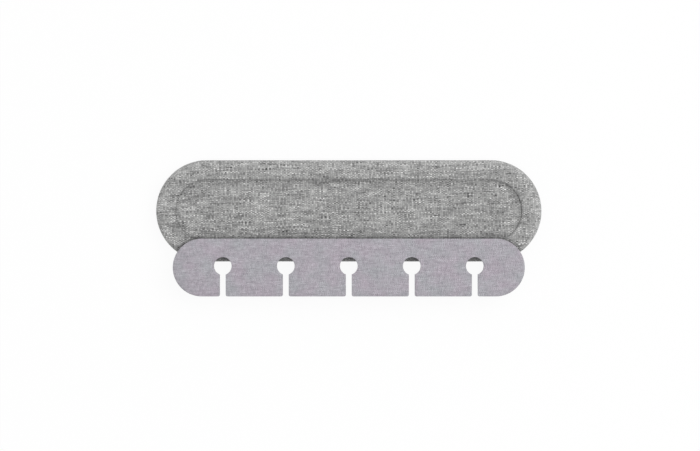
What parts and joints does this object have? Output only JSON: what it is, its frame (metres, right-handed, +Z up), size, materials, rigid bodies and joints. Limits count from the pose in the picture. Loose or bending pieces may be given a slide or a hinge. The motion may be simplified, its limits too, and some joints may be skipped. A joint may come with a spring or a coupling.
{
  "type": "desk cable holder",
  "caption": "Cloth-covered stick-on pad with a pressed recess, and a flexible keyholed strip standing out over its front edge to hold leads at the edge of a desk.",
  "frame": {"origin": "middle of the pad's sticky face, which lies on the desk", "axes": "+X along the pad's length, +Y to the back of the pad, away from the keyholed strip, +Z up out of the desk"},
  "size_m": [0.1042, 0.0368, 0.0091],
  "materials": {
    "adhesive": "smooth tacky gel",
    "backing": "fine moulded matt",
    "core": "moulded closed-cell rubber",
    "pad_cloth": "dark heather plain weave with slubs",
    "film": "translucent bonding film",
    "lining": "fine plain weave",
    "sheet": "flexible matt sheet, cut edges",
    "strip_cloth": "fine lilac-grey plain weave"
  },
  "bodies": {
    "root": {"adhesive_pad": "adhesive", "base_plate": "backing", "base_core": "core", "base_cover": "pad_cloth", "bond_film": "film", "strip_lining": "lining", "strip_core": "sheet", "strip_cover": "strip_cloth"}
  },
  "joints": []
}
